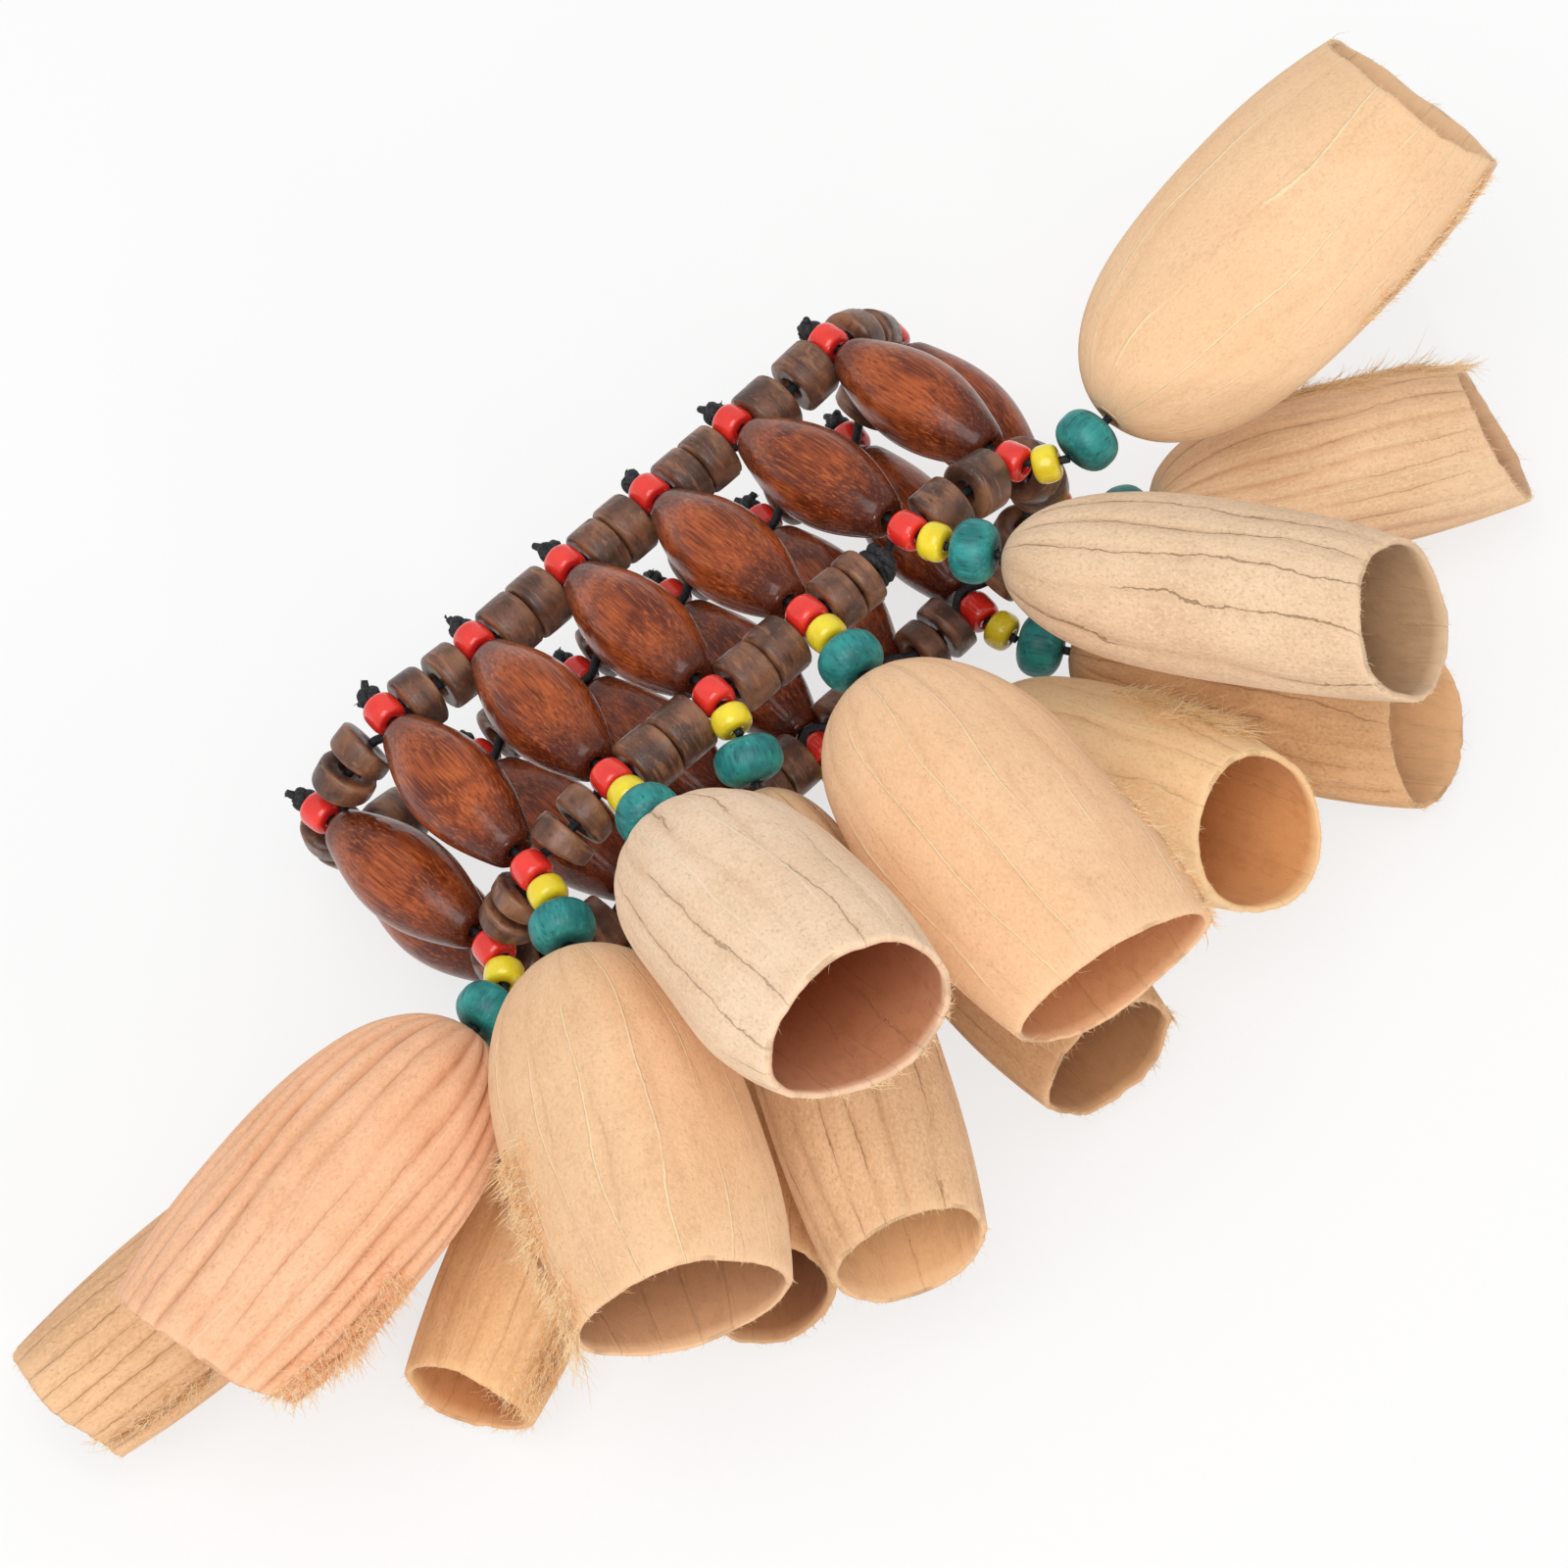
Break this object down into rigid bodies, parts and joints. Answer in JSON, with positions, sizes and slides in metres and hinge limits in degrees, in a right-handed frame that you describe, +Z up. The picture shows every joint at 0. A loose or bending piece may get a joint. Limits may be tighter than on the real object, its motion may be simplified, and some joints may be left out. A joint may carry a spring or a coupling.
{
  "type": "nutshell shaker bracelet",
  "caption": "Rattle bracelet of hollow nutshells that dangle from a stretch band of long wooden beads, coconut rings and small glossy beads.",
  "frame": {"origin": "middle of the band's oval loop, half way between its two elastics", "axes": "+X along the oval loop, +Y out of the loop on the knotted side, away from the shells, +Z up from the surface that the bracelet lies on"},
  "size_m": [0.217, 0.0951, 0.078],
  "materials": {
    "polished_wood": "polished red-brown",
    "teal_wood": "dyed, satin",
    "nutshell": "natural, matt",
    "red_bead": "glossy",
    "yellow_bead": "glossy",
    "coconut": "sanded, satin",
    "elastic": "matt",
    "cord": "waxed cord, frayed ends"
  },
  "bodies": {
    "band": {"long_bead_01": "polished_wood", "long_bead_02": "polished_wood", "long_bead_03": "polished_wood", "long_bead_04": "polished_wood", "long_bead_05": "polished_wood", "long_bead_06": "polished_wood", "long_bead_07": "polished_wood", "long_bead_08": "polished_wood", "long_bead_09": "polished_wood", "long_bead_10": "polished_wood", "long_bead_11": "polished_wood", "long_bead_12": "polished_wood", "long_bead_13": "polished_wood", "long_bead_14": "polished_wood", "upper_red_beads": "red_bead", "lower_red_beads": "red_bead", "yellow_beads": "yellow_bead", "upper_ring_beads": "coconut", "lower_ring_beads": "coconut", "upper_elastic": "elastic", "lower_elastic": "elastic", "elastic_knot": "cord", "tie_strings": "cord"},
    "teal_bead_01": {"teal_bead_01": "teal_wood"},
    "shell_01": {"shell_01": "nutshell"},
    "teal_bead_02": {"teal_bead_02": "teal_wood"},
    "shell_02": {"shell_02": "nutshell"},
    "teal_bead_03": {"teal_bead_03": "teal_wood"},
    "shell_03": {"shell_03": "nutshell"},
    "teal_bead_04": {"teal_bead_04": "teal_wood"},
    "shell_04": {"shell_04": "nutshell"},
    "teal_bead_05": {"teal_bead_05": "teal_wood"},
    "shell_05": {"shell_05": "nutshell"},
    "teal_bead_06": {"teal_bead_06": "teal_wood"},
    "shell_06": {"shell_06": "nutshell"},
    "teal_bead_07": {"teal_bead_07": "teal_wood"},
    "shell_07": {"shell_07": "nutshell"},
    "teal_bead_08": {"teal_bead_08": "teal_wood"},
    "shell_08": {"shell_08": "nutshell"},
    "teal_bead_09": {"teal_bead_09": "teal_wood"},
    "shell_09": {"shell_09": "nutshell"},
    "teal_bead_10": {"teal_bead_10": "teal_wood"},
    "shell_10": {"shell_10": "nutshell"},
    "teal_bead_11": {"teal_bead_11": "teal_wood"},
    "shell_11": {"shell_11": "nutshell"},
    "teal_bead_12": {"teal_bead_12": "teal_wood"},
    "shell_12": {"shell_12": "nutshell"},
    "teal_bead_13": {"teal_bead_13": "teal_wood"},
    "shell_13": {"shell_13": "nutshell"},
    "teal_bead_14": {"teal_bead_14": "teal_wood"},
    "shell_14": {"shell_14": "nutshell"}
  },
  "joints": [
    {"name": "shell_sway_01", "type": "hinge", "parent": "band", "child": "teal_bead_01", "pos_m": [0.00304, -0.02197, 0.02285], "axis": [0, 0, 1], "range_deg": [-2, 8]},
    {"name": "shell_lift_01", "type": "hinge", "parent": "teal_bead_01", "child": "shell_01", "pos_m": [0.00304, -0.02197, 0.02285], "axis": [-0.9816, 0.1908, 0], "range_deg": [0, 35], "deforming": ["tie_strings"]},
    {"name": "shell_sway_02", "type": "hinge", "parent": "band", "child": "teal_bead_02", "pos_m": [0.02244, -0.02184, 0.02324], "axis": [0, 0, 1], "range_deg": [-8, 4]},
    {"name": "shell_lift_02", "type": "hinge", "parent": "teal_bead_02", "child": "shell_02", "pos_m": [0.02244, -0.02184, 0.02324], "axis": [-0.8746, -0.4848, 0], "range_deg": [0, 35]},
    {"name": "shell_sway_03", "type": "hinge", "parent": "band", "child": "teal_bead_03", "pos_m": [0.04294, -0.01948, 0.02021], "axis": [0, 0, 1], "range_deg": [-8, 4]},
    {"name": "shell_lift_03", "type": "hinge", "parent": "teal_bead_03", "child": "shell_03", "pos_m": [0.04294, -0.01948, 0.02021], "axis": [0.0349, -0.9994, 0], "range_deg": [0, 35]},
    {"name": "shell_sway_04", "type": "hinge", "parent": "band", "child": "teal_bead_04", "pos_m": [0.04786, -0.02206, 0.00007], "axis": [0, 0, 1], "range_deg": [-8, 3]},
    {"name": "shell_lift_04", "type": "hinge", "parent": "teal_bead_04", "child": "shell_04", "pos_m": [0.04786, -0.02206, 0.00007], "axis": [-0.4067, -0.9135, 0], "range_deg": [-20, 0]},
    {"name": "shell_sway_05", "type": "hinge", "parent": "band", "child": "teal_bead_05", "pos_m": [0.03362, -0.02283, -0.01174], "axis": [0, 0, 1], "range_deg": [-3, 4]},
    {"name": "shell_lift_05", "type": "hinge", "parent": "teal_bead_05", "child": "shell_05", "pos_m": [0.03362, -0.02283, -0.01174], "axis": [-0.848, -0.5299, 0], "range_deg": [-20, 0]},
    {"name": "shell_sway_06", "type": "hinge", "parent": "band", "child": "teal_bead_06", "pos_m": [0.01937, -0.02249, -0.01093], "axis": [0, 0, 1], "range_deg": [-1.5, 2]},
    {"name": "shell_lift_06", "type": "hinge", "parent": "teal_bead_06", "child": "shell_06", "pos_m": [0.01937, -0.02249, -0.01093], "axis": [-0.9781, -0.2079, 0], "range_deg": [0, 15]},
    {"name": "shell_sway_07", "type": "hinge", "parent": "band", "child": "teal_bead_07", "pos_m": [0.00505, -0.02249, -0.01216], "axis": [0, 0, 1], "range_deg": [-4, 1.5]},
    {"name": "shell_lift_07", "type": "hinge", "parent": "teal_bead_07", "child": "shell_07", "pos_m": [0.00505, -0.02249, -0.01216], "axis": [-0.9925, 0.1219, 0], "range_deg": [-20, 0]},
    {"name": "shell_sway_08", "type": "hinge", "parent": "band", "child": "teal_bead_08", "pos_m": [-0.01118, -0.02228, -0.01227], "axis": [0, 0, 1], "range_deg": [-1, 4]},
    {"name": "shell_lift_08", "type": "hinge", "parent": "teal_bead_08", "child": "shell_08", "pos_m": [-0.01118, -0.02228, -0.01227], "axis": [-0.7193, 0.6947, 0], "range_deg": [-20, 0]},
    {"name": "shell_sway_09", "type": "hinge", "parent": "band", "child": "teal_bead_09", "pos_m": [-0.02729, -0.0216, -0.01254], "axis": [0, 0, 1], "range_deg": [0, 4]},
    {"name": "shell_lift_09", "type": "hinge", "parent": "teal_bead_09", "child": "shell_09", "pos_m": [-0.02729, -0.0216, -0.01254], "axis": [-0.4226, 0.9063, 0], "range_deg": [-20, 0]},
    {"name": "shell_sway_10", "type": "hinge", "parent": "band", "child": "teal_bead_10", "pos_m": [-0.04898, -0.01941, -0.0057], "axis": [0, 0, 1], "range_deg": [-4, 8]},
    {"name": "shell_lift_10", "type": "hinge", "parent": "teal_bead_10", "child": "shell_10", "pos_m": [-0.04898, -0.01941, -0.0057], "axis": [0.0698, 0.9976, 0], "range_deg": [-20, 0]},
    {"name": "shell_sway_11", "type": "hinge", "parent": "band", "child": "teal_bead_11", "pos_m": [-0.05105, -0.02056, 0.00913], "axis": [0, 0, 1], "range_deg": [-3, 8]},
    {"name": "shell_lift_11", "type": "hinge", "parent": "teal_bead_11", "child": "shell_11", "pos_m": [-0.05105, -0.02056, 0.00913], "axis": [-0.1908, 0.9816, 0], "range_deg": [0, 11]},
    {"name": "shell_sway_12", "type": "hinge", "parent": "band", "child": "teal_bead_12", "pos_m": [-0.04123, -0.02217, 0.01881], "axis": [0, 0, 1], "range_deg": [-3, 6]},
    {"name": "shell_lift_12", "type": "hinge", "parent": "teal_bead_12", "child": "shell_12", "pos_m": [-0.04123, -0.02217, 0.01881], "axis": [-0.8829, 0.4695, 0], "range_deg": [0, 5]},
    {"name": "shell_sway_13", "type": "hinge", "parent": "band", "child": "teal_bead_13", "pos_m": [-0.027, -0.02113, 0.02457], "axis": [0, 0, 1], "range_deg": [-5, 7]},
    {"name": "shell_lift_13", "type": "hinge", "parent": "teal_bead_13", "child": "shell_13", "pos_m": [-0.027, -0.02113, 0.02457], "axis": [-0.9781, 0.2079, 0], "range_deg": [0, 35]},
    {"name": "shell_sway_14", "type": "hinge", "parent": "band", "child": "teal_bead_14", "pos_m": [-0.0129, -0.02223, 0.02061], "axis": [0, 0, 1], "range_deg": [-4, 4]},
    {"name": "shell_lift_14", "type": "hinge", "parent": "teal_bead_14", "child": "shell_14", "pos_m": [-0.0129, -0.02223, 0.02061], "axis": [-0.9063, 0.4226, 0], "range_deg": [0, 5]}
  ]
}
